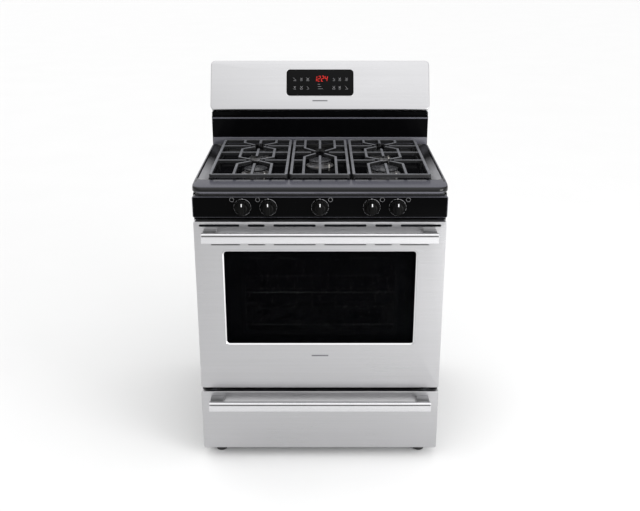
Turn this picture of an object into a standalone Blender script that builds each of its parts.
"""Freestanding gas range: every sub-part as its own closed object, in metres, +Z up, front towards -Y.

The origin is on the floor, under the centre of the range's box.
"""
import math

import bmesh
import bpy
from mathutils import Matrix, Vector

# Overall size
WIDTH = 0.759
DEPTH = 0.733
HEIGHT = 1.193
FRONT_Y = -DEPTH / 2
REAR_Y = DEPTH / 2
GAP = 0.0003
SHEET = 0.0012
CORNER_STEPS = 3
ROUND_STEPS = 16

# Body
BODY_HALF = 0.3785
BODY_FRONT_Y = -0.2690
BODY_REAR_Y = 0.3643
BODY_LOW_Z = 0.0375
BODY_TOP_Z = 0.8815
BASE_HALF = 0.3730
BASE_FRONT_Y = -0.2740
BASE_PLATE_Z = 0.0400
LEG_X = 0.326
LEG_Y = (-0.2560, 0.3300)
LEG_STUD_R = 0.005

# Oven
MOUTH_HALF = 0.3050
MOUTH_LOW_Z = 0.3020
MOUTH_TOP_Z = 0.7400
FRAME_FRONT_Y = -0.2640
CAVITY_HALF = 0.3075
CAVITY_LOW_Z = 0.2995
CAVITY_TOP_Z = 0.7425
CAVITY_REAR_Y = 0.2150
OVEN_FLOOR_Z = 0.3350
RACK_HEIGHTS = (0.44, 0.55)
LEDGE_HEIGHTS = (0.385, 0.44, 0.495, 0.55, 0.605)
RACK_HALF = 0.2960
RACK_FRONT_Y = -0.2350
RACK_REAR_Y = 0.1900
WIRE_R = 0.0030

# Door and drawer
FACE_Y = -0.3115
DOOR_HALF = 0.3760
DOOR_LOW_Z = 0.2540
DOOR_TOP_Z = 0.8055
DOOR_REAR_Y = -0.2740
DOOR_PIVOT = (0.0, -0.2970, 0.2620)
WINDOW_HALF = 0.2895
WINDOW_LOW_Z = 0.4080
WINDOW_TOP_Z = 0.7110
SLOT_Z = (0.7906, 0.7981)
SLOT_SPANS = ((0.0128, 0.1383), (0.1641, 0.2146), (0.2395, 0.3597))
HINGE_X = 0.3400
HANDLE_HALF = 0.3480
HANDLE_DEPTH = 0.0135
HANDLE_HEIGHT = 0.0315
DOOR_HANDLE_TOP_Z = 0.7862
DRAWER_HANDLE_TOP_Z = 0.2285
DRAWER_HALF = 0.3772
DRAWER_LOW_Z = 0.0350
DRAWER_TOP_Z = 0.2400
DRAWER_BOX_HALF = 0.3350
DRAWER_BOX_Y = (-0.2880, 0.2500)
DRAWER_BOX_Z = (0.0750, 0.2150)

# Control panel
PANEL_HALF = WIDTH / 2
PANEL_FRONT_Y = -0.2945
PANEL_REAR_Y = -0.2705
PANEL_LOW_Z = 0.8130
PANEL_TOP_Z = 0.8810
KNOB_X = (-0.2303, -0.1534, 0.0, 0.1534, 0.2303)
KNOB_Z = 0.8455
KNOB_REAR_Y = -0.2990
KNOB_R = 0.0228
KNOB_DEPTH = 0.0300
STEM_R = 0.0030

# Cooktop, burners and grates
TOP_FRONT_Y = -0.3070
TOP_REAR_Y = 0.2478
RIM_Z = 0.9170
PAN_Z = 0.8900
UPSTAND_Z = 0.9400
UPSTAND_HALF = 0.3740
GRATE_TOP_Z = 0.9350
GRATE_Y = (-0.2500, 0.2300)
SIDE_GRATE_X = (0.0970, 0.3320)
CENTRE_GRATE_HALF = 0.0910
BAR_WIDTH = 0.0090
RAIL_DEPTH = 0.0110
FINGER_DEPTH = 0.0095
FOOT_HALF = 0.0040
FOOT_INSET = 0.0215
SIDE_BURNER_X = 0.2045
SIDE_BURNER_Y = (-0.0680, 0.1340)
CENTRE_BURNER_Y = 0.0400
HEAD_HEIGHT = 0.0130
CAP_HEIGHT = 0.0085

# Backguard
RISER_Y = 0.2490
RISER_TOP_Z = 1.0120
VENT_RECESS = 0.0080
VENT_TOP_Z = 1.0262
BACKGUARD_LOW_Z = 0.8840
BACKGUARD_HALF = 0.3770
CONSOLE_LOW = (0.2405, 1.0370)
CONSOLE_TOP = (0.3165, HEIGHT + 0.0011)
CONSOLE_DEPTH = 0.0300
CONSOLE_CORNER = 0.0150
DISPLAY_SIZE = (0.2330, 0.0940)
DISPLAY_DROP = 0.0320
DISPLAY_CORNER = 0.0130

FINISHES = {
    "brushed_steel": ((0.60, 0.60, 0.61), 0.30, 1.0),
    "black_enamel": ((0.012, 0.012, 0.014), 0.12, 0.0),
    "grey_enamel": ((0.045, 0.047, 0.055), 0.30, 0.0),
    "cast_iron": ((0.055, 0.056, 0.062), 0.50, 0.2),
    "burner_alloy": ((0.42, 0.42, 0.43), 0.42, 1.0),
    "body_paint": ((0.030, 0.030, 0.033), 0.45, 0.0),
    "galvanised": ((0.50, 0.52, 0.54), 0.42, 1.0),
    "black_plastic": ((0.010, 0.010, 0.011), 0.30, 0.0),
    "dark_glass": ((0.006, 0.006, 0.007), 0.04, 0.0),
    "clear_glass": ((0.75, 0.80, 0.80), 0.03, 0.0),
    "wire_steel": ((0.62, 0.62, 0.62), 0.25, 1.0),
    "brass": ((0.62, 0.45, 0.20), 0.30, 1.0),
    "gasket_fibre": ((0.16, 0.15, 0.14), 0.90, 0.0),
}


def clear_scene():
    for obj in list(bpy.data.objects):
        bpy.data.objects.remove(obj, do_unlink=True)


def new_collection(name):
    collection = bpy.data.collections.new(name)
    bpy.context.scene.collection.children.link(collection)
    return collection


clear_scene()
PARTS = new_collection("gas_range")
CUTTERS = new_collection("cutters")


# ---- general makers -------------------------------------------------------------------------------------

def material(name, finish):
    colour, roughness, metallic = FINISHES[finish]
    mat = bpy.data.materials.new(f"{name}_{finish}")
    mat.use_nodes = True
    shader = mat.node_tree.nodes["Principled BSDF"]
    shader.inputs["Base Color"].default_value = (*colour, 1.0)
    shader.inputs["Roughness"].default_value = roughness
    shader.inputs["Metallic"].default_value = metallic
    return mat


def place(name, data, finish=None):
    """Put new object data in the model, or among the cutters when it has no finish."""
    obj = bpy.data.objects.new(name, data)
    if finish:
        PARTS.objects.link(obj)
        data.materials.append(material(name, finish))
    else:
        CUTTERS.objects.link(obj)
        obj.hide_render = True
        obj.display_type = "WIRE"
    return obj


def mesh_from(bm, name):
    mesh = bpy.data.meshes.new(name)
    bm.to_mesh(mesh)
    bm.free()
    return mesh


def axis_empty(name, location):
    """An empty on a joint's axis, which the moving pieces hang from."""
    empty = bpy.data.objects.new(name, None)
    empty.location = location
    PARTS.objects.link(empty)
    return empty


def hang(empty, *pieces):
    for piece in pieces:
        piece.parent = empty
        piece.location = piece.location - empty.location


def set_origin(obj, point):
    """Move an object's origin to a point on its joint's axis, leaving its shape where it is."""
    offset = Vector(point) - obj.location
    obj.data.transform(Matrix.Translation(-offset))
    obj.location = point


def add_box(bm, low, high):
    size = Vector(high) - Vector(low)
    middle = (Vector(high) + Vector(low)) / 2
    matrix = Matrix.Translation(middle) @ Matrix.Diagonal((*size, 1.0))
    bmesh.ops.create_cube(bm, size=1.0, matrix=matrix)


def boxes(name, spans, finish=None):
    """One mesh of boxes, each given by its low and high corner."""
    bm = bmesh.new()
    for low, high in spans:
        add_box(bm, low, high)
    return place(name, mesh_from(bm, name), finish)


def add_rod(bm, start, end, radius, segments=12):
    start, end = Vector(start), Vector(end)
    run = end - start
    turn = run.to_track_quat("Z", "Y").to_matrix().to_4x4()
    matrix = Matrix.Translation((start + end) / 2) @ turn
    bmesh.ops.create_cone(bm, cap_ends=True, segments=segments, radius1=radius, radius2=radius,
                          depth=run.length, matrix=matrix)


def rods(name, spans, radius, finish=None, segments=12):
    """One mesh of round rods, each given by its two ends."""
    bm = bmesh.new()
    for start, end in spans:
        add_rod(bm, start, end, radius, segments)
    return place(name, mesh_from(bm, name), finish)


def rounded_outline(half, low, high, radius):
    """A rounded rectangle, counter-clockwise, from its upper right corner."""
    right = half - radius
    corners = ((right, high - radius, 0), (-right, high - radius, 90),
               (-right, low + radius, 180), (right, low + radius, 270))
    points = []
    for across, up, start in corners:
        for step in range(CORNER_STEPS + 1):
            angle = math.radians(start + 90 * step / CORNER_STEPS)
            points.append((across + radius * math.cos(angle), up + radius * math.sin(angle)))
    return points


def loft(name, rings, upright, finish=None, close_start=False, close_end=False):
    """Join rounded rectangles (half width, low, high, radius, level) into one surface.

    An upright ring lies in XZ at y = level, any other ring lies in XY at z = level. Rings run from the
    front or the top outwards, so that the faces look out.
    """
    bm = bmesh.new()
    rows = []
    for half, low, high, radius, level in rings:
        outline = rounded_outline(half, low, high, radius)
        if upright:
            rows.append([bm.verts.new((across, level, up)) for across, up in outline])
        else:
            rows.append([bm.verts.new((across, up, level)) for across, up in outline])
    count = len(rows[0])
    for first, second in zip(rows, rows[1:]):
        for i in range(count):
            j = (i + 1) % count
            bm.faces.new((first[j], first[i], second[i], second[j]))
    if close_start:
        bm.faces.new(rows[0])
    if close_end:
        bm.faces.new(reversed(rows[-1]))
    return place(name, mesh_from(bm, name), finish)


def thicken(obj, thickness=SHEET, offset=-1.0):
    solidify = obj.modifiers.new("thickness", "SOLIDIFY")
    solidify.thickness = thickness
    solidify.offset = offset
    solidify.use_even_offset = True
    return obj


def round_edges(obj, width, segments=2):
    bevel = obj.modifiers.new("rounded_edges", "BEVEL")
    bevel.width = width
    bevel.segments = segments
    bevel.limit_method = "ANGLE"
    return obj


def strip(name, section, axis, start, end, finish, thickness=SHEET):
    """A folded sheet: an open section swept straight along one axis."""
    bm = bmesh.new()
    places = {
        "X": lambda u, v: (start, u, v),
        "Y": lambda u, v: (u, start, v),
        "Z": lambda u, v: (u, v, start),
    }
    verts = [bm.verts.new(places[axis](u, v)) for u, v in section]
    edges = [bm.edges.new(pair) for pair in zip(verts, verts[1:])]
    swept = bmesh.ops.extrude_edge_only(bm, edges=edges)["geom"]
    run = Vector([end - start if letter == axis else 0.0 for letter in "XYZ"])
    moved = [item for item in swept if isinstance(item, bmesh.types.BMVert)]
    bmesh.ops.translate(bm, vec=run, verts=moved)
    return thicken(place(name, mesh_from(bm, name), finish), thickness, 0.0)


def turned(name, profile, finish, location, faces_front=False, steps=ROUND_STEPS):
    """A turned piece: its profile (radius, height) runs down the outer side, from top to bottom."""
    bm = bmesh.new()
    verts = [bm.verts.new((radius, 0.0, height)) for radius, height in profile]
    for pair in zip(verts, verts[1:]):
        bm.edges.new(pair)
    obj = place(name, mesh_from(bm, name), finish)
    obj.location = location
    if faces_front:
        obj.rotation_euler.x = math.radians(90)
    screw = obj.modifiers.new("turning", "SCREW")
    screw.axis = "Z"
    screw.steps = steps
    screw.render_steps = steps
    screw.use_merge_vertices = True
    screw.merge_threshold = 0.00001
    screw.use_smooth_shade = True
    return obj


def tube(name, points, radius, finish, cyclic=False, resolution=2):
    """A bent tube: a curve through its corner points, with filled ends."""
    curve = bpy.data.curves.new(name, "CURVE")
    curve.dimensions = "3D"
    curve.bevel_depth = radius
    curve.bevel_resolution = resolution
    curve.use_fill_caps = True
    spline = curve.splines.new("POLY")
    spline.points.add(len(points) - 1)
    for point, position in zip(spline.points, points):
        point.co = (*position, 1.0)
    spline.use_cyclic_u = cyclic
    return place(name, curve, finish)


def tube_mesh(name, points, radius, finish, cyclic=False, resolution=1):
    """The same tube as a welded mesh, for pieces that are joined to others."""
    curve = tube(name + "_path", points, radius, None, cyclic, resolution)
    bpy.context.view_layer.update()
    evaluated = curve.evaluated_get(bpy.context.evaluated_depsgraph_get())
    mesh = bpy.data.meshes.new_from_object(evaluated)
    mesh.name = name
    bm = bmesh.new()
    bm.from_mesh(mesh)
    bmesh.ops.remove_doubles(bm, verts=bm.verts, dist=0.00001)
    bmesh.ops.recalc_face_normals(bm, faces=bm.faces)
    bm.to_mesh(mesh)
    bm.free()
    mesh.materials.clear()
    obj = place(name, mesh, finish)
    obj.matrix_world = curve.matrix_world
    bpy.data.objects.remove(curve)
    return obj


def boolean(target, tool, operation):
    modifier = target.modifiers.new(operation.lower(), "BOOLEAN")
    modifier.operation = operation
    modifier.solver = "EXACT"
    modifier.use_self = operation == "UNION"
    modifier.object = tool
    return target


def fuse(target, tool):
    return boolean(target, tool, "UNION")


def cut(target, tool):
    return boolean(target, tool, "DIFFERENCE")


def both_sides(span):
    """A box span and its mirror image across the middle plane."""
    (x0, y0, z0), (x1, y1, z1) = span
    return [span, ((-x1, y0, z0), (-x0, y1, z1))]


def rectangle_path(half, low, high, corner, level, upright):
    """A closed rounded rectangle for a tube, in XZ or in XY."""
    outline = rounded_outline(half, low, high, corner)
    if upright:
        return [(across, level, up) for across, up in outline]
    return [(across, up, level) for across, up in outline]


# ---- body -----------------------------------------------------------------------------------------------

def side_panels():
    middle = BODY_HALF - SHEET / 2
    flange = middle - 0.0180
    for side, name in ((-1, "left_side_panel"), (1, "right_side_panel")):
        section = [(side * middle, BODY_FRONT_Y), (side * middle, BODY_REAR_Y)]
        section.append((side * flange, BODY_REAR_Y))
        strip(name, section, "Z", BODY_LOW_Z, BODY_TOP_Z, "body_paint")


def rear_panel():
    low = (-BODY_HALF, BODY_REAR_Y + 0.0010, 0.0450)
    high = (BODY_HALF, REAR_Y, 0.8725)
    panel = boxes("rear_panel", [(low, high)], "galvanised")
    behind, ahead = REAR_Y + 0.01, BODY_REAR_Y - 0.01
    openings = [((0.145, ahead, 0.070), (0.255, behind, 0.180))]
    vent_width, vent_height, vent_pitch = 0.11, 0.008, 0.026
    for row in range(5):
        z = 0.62 + row * vent_pitch
        openings += both_sides(((0.06, ahead, z), (0.06 + vent_width, behind, z + vent_height)))
    return cut(panel, boxes("rear_panel_openings", openings))


def base_frame():
    outer, inner = BASE_HALF, 0.3000
    rear = 0.3620
    rings = [
        (inner, -0.2000, 0.3000, 0.004, BASE_PLATE_Z + 0.0120),
        (inner, -0.2000, 0.3000, 0.004, BASE_PLATE_Z),
        (outer, BASE_FRONT_Y, rear, 0.004, BASE_PLATE_Z),
        (outer, BASE_FRONT_Y, rear, 0.004, BASE_PLATE_Z + 0.0240),
    ]
    frame = loft("base_frame", rings, False, "galvanised")
    thicken(frame, 0.0015, -1.0)
    holes = [((side * LEG_X, y, 0.030), (side * LEG_X, y, 0.050)) for side in (-1, 1) for y in LEG_Y]
    return cut(frame, rods("leg_holes", holes, LEG_STUD_R + 0.0010))


def levelling_legs():
    profile = [(0, 0.0620), (LEG_STUD_R, 0.0620), (LEG_STUD_R, 0.0300), (0.0185, 0.0300),
               (0.0185, 0.0060), (0.0166, 0.0012), (0.0150, 0), (0, 0)]
    for end, y in zip(("front", "rear"), LEG_Y):
        for side, word in ((-1, "left"), (1, "right")):
            turned(f"leg_{end}_{word}", profile, "black_plastic", (side * LEG_X, y, 0))


def front_frame():
    rings = [
        (MOUTH_HALF, MOUTH_LOW_Z, MOUTH_TOP_Z, 0.018, -0.2480),
        (MOUTH_HALF, MOUTH_LOW_Z, MOUTH_TOP_Z, 0.018, FRAME_FRONT_Y),
        (0.3765, 0.2440, 0.8110, 0.002, FRAME_FRONT_Y),
        (0.3765, 0.2440, 0.8110, 0.002, -0.2500),
    ]
    return thicken(loft("front_frame", rings, True, "black_enamel"))


def gas_regulator():
    x, y = 0.200, 0.330
    profile = [(0, 0.118), (0.016, 0.118), (0.028, 0.108), (0.028, 0.090), (0.018, 0.082), (0.006, 0.082),
               (0.006, 0.042), (0, 0.042)]
    body = turned("gas_regulator", profile, "burner_alloy", (x, y, 0))
    pipes = [((x, y, 0.110), (x, y, 0.240)), ((x - 0.055, y, 0.099), (x, y, 0.099))]
    return fuse(body, rods("regulator_pipes", pipes, 0.0075))


# ---- oven -----------------------------------------------------------------------------------------------

def oven_liner():
    flange = 0.0125
    rings = [
        (CAVITY_HALF + flange, CAVITY_LOW_Z - flange, CAVITY_TOP_Z + flange, 0.020, -0.2600),
        (CAVITY_HALF, CAVITY_LOW_Z, CAVITY_TOP_Z, 0.018, -0.2600),
        (CAVITY_HALF, CAVITY_LOW_Z, CAVITY_TOP_Z, 0.018, CAVITY_REAR_Y - 0.010),
        (CAVITY_HALF - 0.010, CAVITY_LOW_Z + 0.010, CAVITY_TOP_Z - 0.010, 0.012, CAVITY_REAR_Y),
    ]
    liner = loft("oven_liner", rings, True, "grey_enamel", close_end=True)
    thicken(liner, 0.0010, 1.0)
    ledges = []
    for height in LEDGE_HEIGHTS:
        top = height - WIRE_R - GAP
        span = ((0.2948, -0.2200, top - 0.0070), (CAVITY_HALF + 0.0005, 0.1850, top))
        ledges += both_sides(span)
    return fuse(liner, boxes("rack_ledges", ledges))


def oven_floor():
    half = 0.2885
    foot = CAVITY_LOW_Z + 0.0006
    rings = [
        (half, -0.2420, 0.2000, 0.010, OVEN_FLOOR_Z),
        (half, -0.2420, 0.2000, 0.010, foot),
    ]
    floor = thicken(loft("oven_floor", rings, False, "grey_enamel", close_start=True), 0.0010)
    slots = []
    for row in range(4):
        y = -0.18 + row * 0.095
        slots += both_sides(((0.262, y, OVEN_FLOOR_Z - 0.01), (0.272, y + 0.055, OVEN_FLOOR_Z + 0.01)))
    return cut(floor, boxes("floor_slots", slots))


def oven_burners():
    bake = [(-0.11, 0.185, 0.318), (-0.11, -0.13, 0.318), (-0.08, -0.16, 0.318), (0.08, -0.16, 0.318),
            (0.11, -0.13, 0.318), (0.11, 0.185, 0.318)]
    tube("bake_burner", bake, 0.008, "burner_alloy")
    broil = [(-0.10, 0.200, 0.728), (-0.10, -0.12, 0.728), (-0.07, -0.15, 0.728), (0.07, -0.15, 0.728),
             (0.10, -0.12, 0.728), (0.10, 0.200, 0.728)]
    tube("broil_burner", broil, 0.007, "burner_alloy")


def oven_lamp():
    profile = [(0, 0.019), (0.010, 0.017), (0.018, 0.011), (0.022, 0.003), (0.022, 0), (0, 0)]
    return turned("oven_lamp", profile, "clear_glass", (0.200, CAVITY_REAR_Y - 0.0010, 0.650), True)


def door_gasket():
    path = rectangle_path(0.3170, 0.2900, 0.7520, 0.0220, -0.2688, True)
    return tube("door_gasket", path, 0.0040, "gasket_fibre", cyclic=True)


def oven_racks():
    for number, height in enumerate(RACK_HEIGHTS, 1):
        path = rectangle_path(RACK_HALF, RACK_FRONT_Y, RACK_REAR_Y, 0.012, height, False)
        rack = tube_mesh(f"oven_rack_{number}", path, WIRE_R, "wire_steel", cyclic=True)
        wires = 11
        pitch = 2 * RACK_HALF / (wires + 1)
        wire_z = height + 0.0014
        lengthwise = []
        for index in range(1, wires + 1):
            x = -RACK_HALF + index * pitch
            lengthwise.append(((x, RACK_FRONT_Y - 0.0004, wire_z), (x, RACK_REAR_Y + 0.0004, wire_z)))
        fuse(rack, rods(f"rack_{number}_wires", lengthwise, 0.0019, segments=4))
        brace_z = height - 0.0008
        braces = [((-RACK_HALF, y, brace_z), (RACK_HALF, y, brace_z)) for y in (-0.09, 0.07)]
        fuse(rack, rods(f"rack_{number}_braces", braces, 0.0021, segments=4))
        hang(axis_empty(f"rack_{number}_slide", (0, RACK_FRONT_Y, height)), rack)


# ---- door -----------------------------------------------------------------------------------------------

def hinge_clearance(name):
    """Slots at the door's lower rear corner, where the hinge brackets pass as the door turns."""
    half = 0.0080
    span = ((HINGE_X - half, -0.3040, DOOR_LOW_Z - 0.01), (HINGE_X + half, DOOR_REAR_Y + 0.01, 0.2720))
    return boxes(name, both_sides(span))


def door_skin():
    rings = [
        (WINDOW_HALF, WINDOW_LOW_Z, WINDOW_TOP_Z, 0.0080, FACE_Y + 0.0030),
        (WINDOW_HALF + 0.006, WINDOW_LOW_Z - 0.006, WINDOW_TOP_Z + 0.006, 0.0130, FACE_Y),
        (DOOR_HALF - 0.002, DOOR_LOW_Z + 0.002, DOOR_TOP_Z - 0.002, 0.0030, FACE_Y),
        (DOOR_HALF, DOOR_LOW_Z, DOOR_TOP_Z, 0.0040, FACE_Y + 0.0020),
        (DOOR_HALF, DOOR_LOW_Z, DOOR_TOP_Z, 0.0040, -0.2780),
    ]
    skin = thicken(loft("door_skin", rings, True, "brushed_steel"))
    slots = []
    for inner, outer in SLOT_SPANS:
        slots += both_sides(((inner, FACE_Y - 0.01, SLOT_Z[0]), (outer, FACE_Y + 0.01, SLOT_Z[1])))
    cut(skin, boxes("vent_slots", slots))
    return cut(skin, hinge_clearance("skin_hinge_slots"))


def glass_pane(name, half, low, high, corner, front, thickness, finish):
    rings = [(half, low, high, corner, front), (half, low, high, corner, front + thickness)]
    return loft(name, rings, True, finish, close_start=True, close_end=True)


def door_inner_panel():
    outer, opening = DOOR_HALF - SHEET - 0.0008, 0.2300
    low, high = DOOR_LOW_Z + SHEET + 0.0008, DOOR_TOP_Z - SHEET - 0.0008
    rings = [
        (outer, low, high, 0.003, -0.2950),
        (outer, low, high, 0.003, DOOR_REAR_Y),
        (opening, 0.4400, 0.6800, 0.020, DOOR_REAR_Y),
        (opening, 0.4400, 0.6800, 0.020, DOOR_REAR_Y - 0.0120),
    ]
    panel = thicken(loft("door_inner_panel", rings, True, "grey_enamel"), 0.0010, -1.0)
    return cut(panel, hinge_clearance("inner_panel_hinge_slots"))


def bar_handle(name, top, finish="brushed_steel"):
    """A flat bar on two end brackets, standing off the face."""
    low = top - HANDLE_HEIGHT
    bar_rear = FRONT_Y + HANDLE_DEPTH
    bar = boxes(name, [((-HANDLE_HALF, FRONT_Y, low), (HANDLE_HALF, bar_rear, top))], finish)
    round_edges(bar, 0.0035, 3)
    bracket = ((0.3060, bar_rear - 0.0040, low + 0.0045), (0.3460, FACE_Y - GAP, top - 0.0030))
    brackets = boxes(name + "_brackets", both_sides(bracket))
    round_edges(brackets, 0.0015, 1)
    return fuse(bar, brackets)


def hinge_brackets():
    """Each bracket stands on the front frame and reaches forward to the door's pivot line."""
    _, pivot_y, pivot_z = DOOR_PIVOT
    for side, name in ((-1, "door_hinge_left"), (1, "door_hinge_right")):
        x = side * HINGE_X
        rear = FRAME_FRONT_Y - GAP
        plate = ((x - 0.0140, rear - 0.0020, 0.2475), (x + 0.0140, rear, 0.2780))
        bracket = boxes(name, [plate], "galvanised")
        arm = ((x - 0.0050, pivot_y, pivot_z - 0.0050), (x + 0.0050, rear - 0.0010, pivot_z + 0.0050))
        fuse(bracket, boxes(name + "_arm", [arm]))
        pin = ((x - 0.0070, pivot_y, pivot_z), (x + 0.0070, pivot_y, pivot_z))
        fuse(bracket, rods(name + "_pin", [pin], 0.0052, segments=16))


def door():
    pieces = [
        door_skin(),
        glass_pane("door_window", WINDOW_HALF + 0.006, WINDOW_LOW_Z - 0.006, WINDOW_TOP_Z + 0.006, 0.010,
                   FACE_Y + 0.0046, 0.0040, "dark_glass"),
        door_inner_panel(),
        glass_pane("door_inner_glass", 0.2400, 0.4300, 0.6900, 0.010, -0.2905, 0.0040, "clear_glass"),
        bar_handle("door_handle", DOOR_HANDLE_TOP_Z),
    ]
    hang(axis_empty("door_pivot", DOOR_PIVOT), *pieces)
    hinge_brackets()


# ---- drawer ---------------------------------------------------------------------------------------------

def drawer_front():
    rings = [
        (DRAWER_HALF - 0.002, DRAWER_LOW_Z + 0.002, DRAWER_TOP_Z - 0.002, 0.0030, FACE_Y),
        (DRAWER_HALF, DRAWER_LOW_Z, DRAWER_TOP_Z, 0.0040, FACE_Y + 0.0020),
        (DRAWER_HALF, DRAWER_LOW_Z, DRAWER_TOP_Z, 0.0040, -0.2915),
    ]
    return thicken(loft("drawer_front", rings, True, "brushed_steel", close_start=True))


def drawer_box():
    front, rear = DRAWER_BOX_Y
    low, high = DRAWER_BOX_Z
    rings = [
        (DRAWER_BOX_HALF, front, rear, 0.006, high),
        (DRAWER_BOX_HALF, front, rear, 0.006, low),
    ]
    return thicken(loft("drawer_box", rings, False, "body_paint", close_end=True), 0.0010)


def drawer_rails():
    wall, lip = 0.3700, 0.3420
    for side, name in ((-1, "drawer_rail_left"), (1, "drawer_rail_right")):
        section = [(side * lip, 0.100), (side * wall, 0.100), (side * wall, 0.135), (side * lip, 0.135)]
        strip(name, section, "Y", -0.2500, 0.2900, "galvanised", 0.0015)


def drawer():
    pieces = [drawer_front(), drawer_box(), bar_handle("drawer_handle", DRAWER_HANDLE_TOP_Z)]
    hang(axis_empty("drawer_slide", (0, FACE_Y, DRAWER_BOX_Z[0])), *pieces)
    drawer_rails()


# ---- control panel --------------------------------------------------------------------------------------

def control_panel():
    rings = [
        (PANEL_HALF - 0.0030, PANEL_LOW_Z + 0.0030, PANEL_TOP_Z - 0.0030, 0.0030, PANEL_FRONT_Y),
        (PANEL_HALF, PANEL_LOW_Z, PANEL_TOP_Z, 0.0050, PANEL_FRONT_Y + 0.0025),
        (PANEL_HALF, PANEL_LOW_Z, PANEL_TOP_Z, 0.0050, PANEL_REAR_Y),
    ]
    panel = thicken(loft("control_panel", rings, True, "black_enamel", close_start=True), 0.0015)
    holes = [((x, PANEL_FRONT_Y - 0.01, KNOB_Z), (x, PANEL_FRONT_Y + 0.01, KNOB_Z)) for x in KNOB_X]
    return cut(panel, rods("stem_holes", holes, STEM_R + 0.0010, segments=16))


def gas_manifold():
    pipe_y, pipe_r = -0.2350, 0.0090
    pipe = rods("gas_manifold", [((-0.290, pipe_y, KNOB_Z), (0.345, pipe_y, KNOB_Z))], pipe_r, "brass", 16)
    valve = 0.0120
    valves = []
    bores = []
    for x in KNOB_X:
        valves.append(((x - valve, -0.2640, KNOB_Z - valve), (x + valve, pipe_y, KNOB_Z + valve)))
        bores.append(((x, -0.2700, KNOB_Z), (x, -0.2480, KNOB_Z)))
    fuse(pipe, boxes("valve_bodies", valves))
    return cut(pipe, rods("valve_bores", bores, STEM_R + 0.0005, segments=12))


def knobs_and_stems():
    stem_front, stem_rear = -0.3150, -0.2560
    stem_length = stem_rear - stem_front
    stem = [(0, stem_length), (STEM_R, stem_length), (STEM_R, 0), (0, 0)]
    bore_r = STEM_R + 0.0004
    bore_top = KNOB_REAR_Y - stem_front + 0.0010
    top = bore_top + 0.0020
    skirt = [(0, top), (0.0150, top), (0.0190, 0.0100), (0.0210, 0.0060), (KNOB_R, 0.0050),
             (KNOB_R, 0.0010), (KNOB_R - 0.0010, 0), (bore_r, 0), (bore_r, bore_top), (0, bore_top)]
    for number, x in enumerate(KNOB_X, 1):
        turned(f"valve_stem_{number}", stem, "galvanised", (x, stem_rear, KNOB_Z), True, 12)
        knob = turned(f"knob_{number}", skirt, "black_plastic", (x, KNOB_REAR_Y, KNOB_Z), True)
        grip = ((x - 0.0062, KNOB_REAR_Y - KNOB_DEPTH, KNOB_Z - 0.0190),
                (x + 0.0062, KNOB_REAR_Y - bore_top - 0.0008, KNOB_Z + 0.0190))
        fuse(knob, round_edges(boxes(f"knob_{number}_grip", [grip]), 0.0030, 2))


# ---- cooktop --------------------------------------------------------------------------------------------

def cooktop():
    rings = [
        (0.3440, -0.2345, 0.2352, 0.012, PAN_Z),
        (0.3480, -0.2375, 0.2378, 0.014, PAN_Z + 0.0030),
        (0.3680, -0.2400, 0.2390, 0.020, RIM_Z - 0.0050),
        (0.3705, -0.2415, 0.2398, 0.022, RIM_Z),
        (0.3760, -0.2440, 0.2440, 0.030, RIM_Z),
        (0.3788, -0.2960, 0.2465, 0.032, RIM_Z - 0.0075),
        (0.3795, -0.3035, 0.2475, 0.034, RIM_Z - 0.0130),
        (0.3795, TOP_FRONT_Y, TOP_REAR_Y, 0.034, 0.8896),
        (0.3790, TOP_FRONT_Y + 0.0020, TOP_REAR_Y - 0.0004, 0.034, 0.8830),
    ]
    top = loft("cooktop", rings, False, "black_enamel", close_start=True)
    thicken(top, 0.0012)
    upstand = ((-UPSTAND_HALF, 0.2400, RIM_Z - 0.0040), (UPSTAND_HALF, 0.2462, UPSTAND_Z))
    return fuse(top, round_edges(boxes("rear_upstand", [upstand]), 0.0015, 2))


def burner(name, x, y, radius):
    base = PAN_Z + GAP
    flare = radius + 0.0060
    head = [(0, HEAD_HEIGHT), (radius - 0.0015, HEAD_HEIGHT), (radius, HEAD_HEIGHT - 0.0015),
            (radius, 0.0060), (flare, 0.0040), (flare + 0.0040, 0), (0, 0)]
    turned(f"burner_head_{name}", head, "burner_alloy", (x, y, base))
    cap = [(0, CAP_HEIGHT), (radius * 0.55, CAP_HEIGHT - 0.0006), (radius - 0.0030, CAP_HEIGHT - 0.0022),
           (radius + 0.0005, CAP_HEIGHT - 0.0050), (radius + 0.0005, 0.0012), (radius - 0.0010, 0), (0, 0)]
    turned(f"burner_cap_{name}", cap, "cast_iron", (x, y, base + HEAD_HEIGHT + GAP))


def burners():
    front, rear = SIDE_BURNER_Y
    burner("front_left", -SIDE_BURNER_X, front, 0.0360)
    burner("rear_left", -SIDE_BURNER_X, rear, 0.0300)
    burner("centre", 0.0, CENTRE_BURNER_Y, 0.0360)
    burner("front_right", SIDE_BURNER_X, front, 0.0430)
    burner("rear_right", SIDE_BURNER_X, rear, 0.0300)


def add_bent_bar(bm, points, top, depth):
    """A flat bar with mitred bends, following points in plan."""
    points = [Vector(point) for point in points]
    half = BAR_WIDTH / 2
    left, right = [], []
    for index, point in enumerate(points):
        before = (point - points[index - 1]).normalized() if index else None
        after = (points[index + 1] - point).normalized() if index + 1 < len(points) else None
        ahead = ((before or after) + (after or before)).normalized()
        normal = Vector((-ahead.y, ahead.x))
        reach = half / normal.dot(Vector((-(after or before).y, (after or before).x)))
        left.append(point + normal * reach)
        right.append(point - normal * reach)
    outline = left + right[::-1]
    face = bm.faces.new([bm.verts.new((corner.x, corner.y, top)) for corner in outline])
    raised = bmesh.ops.extrude_face_region(bm, geom=[face])["geom"]
    lowered = [item for item in raised if isinstance(item, bmesh.types.BMVert)]
    bmesh.ops.translate(bm, vec=(0, 0, -depth), verts=lowered)


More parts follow.
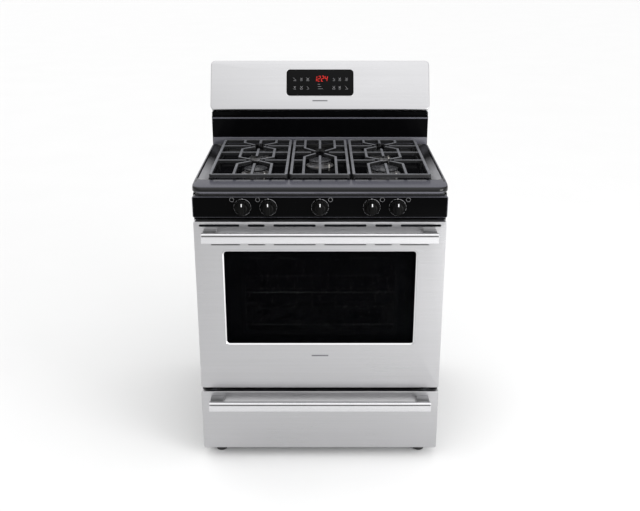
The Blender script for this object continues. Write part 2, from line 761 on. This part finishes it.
def grate(name, x_span, bars, feet_x):
    """A rectangular cast frame on feet, with bars and fingers that point at the burners."""
    x0, x1 = x_span
    y0, y1 = GRATE_Y
    rail_low = GRATE_TOP_Z - RAIL_DEPTH
    frame = boxes(name, [((x0, y0, rail_low), (x1, y1, GRATE_TOP_Z))], "cast_iron")
    corner = Vector((BAR_WIDTH, BAR_WIDTH, -0.01))
    inside = (Vector((x0, y0, rail_low)) + corner, Vector((x1, y1, GRATE_TOP_Z)) - corner)
    cut(frame, boxes(name + "_inside", [inside]))
    bm = bmesh.new()
    for points in bars:
        add_bent_bar(bm, points, GRATE_TOP_Z - 0.0004, FINGER_DEPTH)
    for x in feet_x:
        for y in (y0 + FOOT_INSET, (y0 + y1) / 2, y1 - FOOT_INSET):
            low = (x - FOOT_HALF, y - FOOT_HALF, PAN_Z + 2 * GAP)
            add_box(bm, low, (x + FOOT_HALF, y + FOOT_HALF, rail_low + 0.0020))
    bmesh.ops.recalc_face_normals(bm, faces=bm.faces)
    return fuse(frame, place(name + "_bars", mesh_from(bm, name + "_bars")))


def side_grate_bars(cx, x_span):
    """Bars round a front and a rear burner: bent pairs, centre fingers and cross fingers."""
    front_rail, rear_rail = GRATE_Y[0] + 0.002, GRATE_Y[1] - 0.002
    front, rear = SIDE_BURNER_Y
    half, tip, reach = 0.0540, 0.0160, 0.0120
    bars = []
    for side in (-1, 1):
        outer, inner = cx + side * half, cx + side * tip
        bars.append([(outer, front_rail), (outer, front - 0.046), (inner, front - reach)])
        between = [(outer, front + 0.042), (outer, rear - 0.044)]
        bars.append([(inner, front + reach), *between, (inner, rear - reach)])
        bars.append([(inner, rear + reach), (outer, rear + 0.049), (outer, rear_rail)])
    bars.append([(cx, front_rail), (cx, front - 0.045)])
    bars.append([(cx, front + 0.055), (cx, rear - 0.045)])
    bars.append([(cx, rear_rail), (cx, rear + 0.034)])
    rails = (x_span[0] + 0.002, x_span[1] - 0.002)
    bars.append([(rails[0], CENTRE_BURNER_Y), (rails[1], CENTRE_BURNER_Y)])
    for y in SIDE_BURNER_Y:
        bars.append([(rails[0], y), (cx - 0.030, y)])
        bars.append([(cx + 0.030, y), (rails[1], y)])
    return bars


def centre_grate_bars():
    front_rail, rear_rail = GRATE_Y[0] + 0.002, GRATE_Y[1] - 0.002
    middle, half, tip, reach = CENTRE_BURNER_Y, 0.0500, 0.0160, 0.0180
    edge = CENTRE_GRATE_HALF - 0.002
    bars = [[(0, front_rail), (0, middle - 0.050)], [(0, middle + 0.050), (0, rear_rail)]]
    for side in (-1, 1):
        outer, inner = side * half, side * tip
        bars.append([(outer, front_rail), (outer, middle - 0.062), (inner, middle - reach)])
        bars.append([(inner, middle + reach), (outer, middle + 0.062), (outer, rear_rail)])
        bars.append([(side * 0.030, middle), (side * edge, middle)])
        for y in SIDE_BURNER_Y:
            bars.append([(side * (half - 0.002), y), (side * edge, y)])
    return bars


def grates():
    low, high = SIDE_GRATE_X
    sides = (("grate_left", -SIDE_BURNER_X, (-high, -low)), ("grate_right", SIDE_BURNER_X, (low, high)))
    for name, cx, span in sides:
        feet_x = (span[0] + BAR_WIDTH / 2, span[1] - BAR_WIDTH / 2)
        side = grate(name, span, side_grate_bars(cx, span), feet_x)
        set_origin(side, (cx, CENTRE_BURNER_Y, GRATE_TOP_Z))
    edge = CENTRE_GRATE_HALF - BAR_WIDTH / 2
    span = (-CENTRE_GRATE_HALF, CENTRE_GRATE_HALF)
    centre = grate("grate_centre", span, centre_grate_bars(), (-edge, edge))
    set_origin(centre, (0, CENTRE_BURNER_Y, GRATE_TOP_Z))


# ---- backguard ------------------------------------------------------------------------------------------

def console_tilt():
    """The console's lean, and the length of its sloping face."""
    (low_y, low_z), (top_y, top_z) = CONSOLE_LOW, CONSOLE_TOP
    return math.atan2(top_y - low_y, top_z - low_z), math.hypot(top_y - low_y, top_z - low_z)


def lean(obj):
    """Set an upright piece, built with its face at y = 0, on the console's sloping face."""
    angle, _ = console_tilt()
    obj.location = (0, *CONSOLE_LOW)
    obj.rotation_euler.x = -angle
    return obj


def backguard_riser():
    recess = RISER_Y + VENT_RECESS
    section = [(RISER_Y, BACKGUARD_LOW_Z), (RISER_Y, RISER_TOP_Z), (recess, RISER_TOP_Z),
               (recess, VENT_TOP_Z)]
    half = BACKGUARD_HALF - 0.0010
    return strip("backguard_riser", section, "X", -half, half, "black_enamel")


def backguard_fascia():
    _, slope = console_tilt()
    corner = CONSOLE_CORNER
    half = WIDTH / 2
    rings = [
        (half - 0.0020, 0.0020, slope - 0.0020, corner - 0.0020, 0.0),
        (half, 0.0, slope, corner, 0.0025),
        (half, 0.0, slope, corner, CONSOLE_DEPTH),
    ]
    fascia = lean(thicken(loft("backguard_fascia", rings, True, "brushed_steel", close_start=True)))
    width, height = DISPLAY_SIZE
    top = slope - DISPLAY_DROP
    edge = 0.0006
    hole = (width / 2 + edge, top - height - edge, top + edge, DISPLAY_CORNER + edge)
    opening = [(*hole, level) for level in (-0.01, 0.01)]
    cutter = lean(loft("display_opening", opening, True, close_start=True, close_end=True))
    cut(fascia, cutter)
    pane = glass_pane("display_glass", width / 2, top - height, top, DISPLAY_CORNER, -0.0004, 0.0030,
                      "dark_glass")
    return lean(pane)


def backguard_back():
    """The rear cover: a thin box, open towards the console and the riser."""
    angle, slope = console_tilt()
    clear = 0.0012
    inward = CONSOLE_DEPTH + clear
    low_y = CONSOLE_LOW[0] + inward * math.cos(angle)
    low_z = CONSOLE_LOW[1] - inward * math.sin(angle)
    top_y = low_y + slope * math.sin(angle)
    top_z = low_z + slope * math.cos(angle)
    rear = REAR_Y - 0.0002
    ahead = RISER_Y + 0.0020
    recess = ahead + VENT_RECESS
    step_z = RISER_TOP_Z - 0.0020
    outline = [(ahead, BACKGUARD_LOW_Z), (rear, BACKGUARD_LOW_Z), (rear, top_z - 0.030),
               (rear - 0.006, top_z - 0.012), (top_y, top_z), (low_y, low_z), (recess, low_z),
               (recess, step_z), (ahead, step_z)]
    half = BACKGUARD_HALF - 0.0010
    bm = bmesh.new()
    first = [bm.verts.new((-half, y, z)) for y, z in outline]
    side = bm.faces.new(first)
    raised = bmesh.ops.extrude_face_region(bm, geom=[side], use_keep_orig=True)["geom"]
    moved = [item for item in raised if isinstance(item, bmesh.types.BMVert)]
    bmesh.ops.translate(bm, vec=(2 * half, 0, 0), verts=moved)
    bmesh.ops.recalc_face_normals(bm, faces=bm.faces)
    open_edges = list(zip(outline[4:], outline[5:] + outline[:1]))
    open_middles = [(Vector(start) + Vector(end)) / 2 for start, end in open_edges]
    doomed = []
    for face in bm.faces:
        middle = face.calc_center_median()
        on_opening = any((middle.yz - point).length < 0.0001 for point in open_middles)
        if abs(middle.x) < 0.01 and on_opening:
            doomed.append(face)
    bmesh.ops.delete(bm, geom=doomed, context="FACES")
    return thicken(place("backguard_back", mesh_from(bm, "backguard_back"), "galvanised"), 0.0010)


# ---- the range ------------------------------------------------------------------------------------------

def build_range():
    side_panels()
    rear_panel()
    base_frame()
    levelling_legs()
    front_frame()
    gas_regulator()
    oven_liner()
    oven_floor()
    oven_burners()
    oven_lamp()
    door_gasket()
    oven_racks()
    door()
    drawer()
    control_panel()
    gas_manifold()
    knobs_and_stems()
    cooktop()
    burners()
    grates()
    backguard_riser()
    backguard_fascia()
    backguard_back()


build_range()
